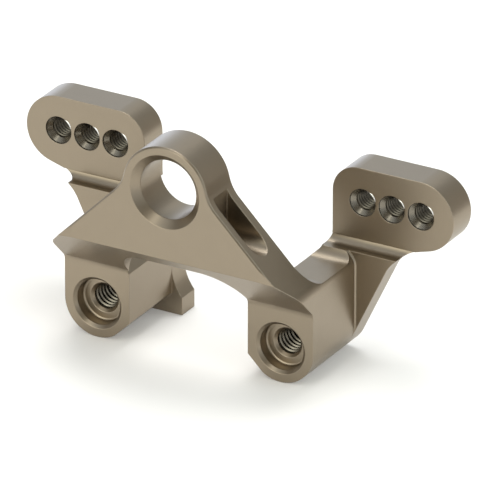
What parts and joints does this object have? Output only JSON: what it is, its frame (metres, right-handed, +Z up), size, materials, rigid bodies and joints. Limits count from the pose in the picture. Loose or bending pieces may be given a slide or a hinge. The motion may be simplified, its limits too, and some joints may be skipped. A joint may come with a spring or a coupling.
{
  "type": "camber block",
  "caption": "Machined aluminium suspension block: a bored ring plate on two tapped bosses, with an arm behind each boss rising to an ear with a row of tapped holes.",
  "frame": {"origin": "middle of the base, under the bosses, half way between the plate's front face and the ears' rear faces", "axes": "+X across the block towards the right ear seen from the ring side, +Y from the ring plate towards the ears, +Z up"},
  "size_m": [0.0594, 0.0222, 0.0303],
  "materials": {
    "body": "satin hard-anodised, bronze grey"
  },
  "bodies": {
    "root": {"camber_block": "body"}
  },
  "joints": []
}
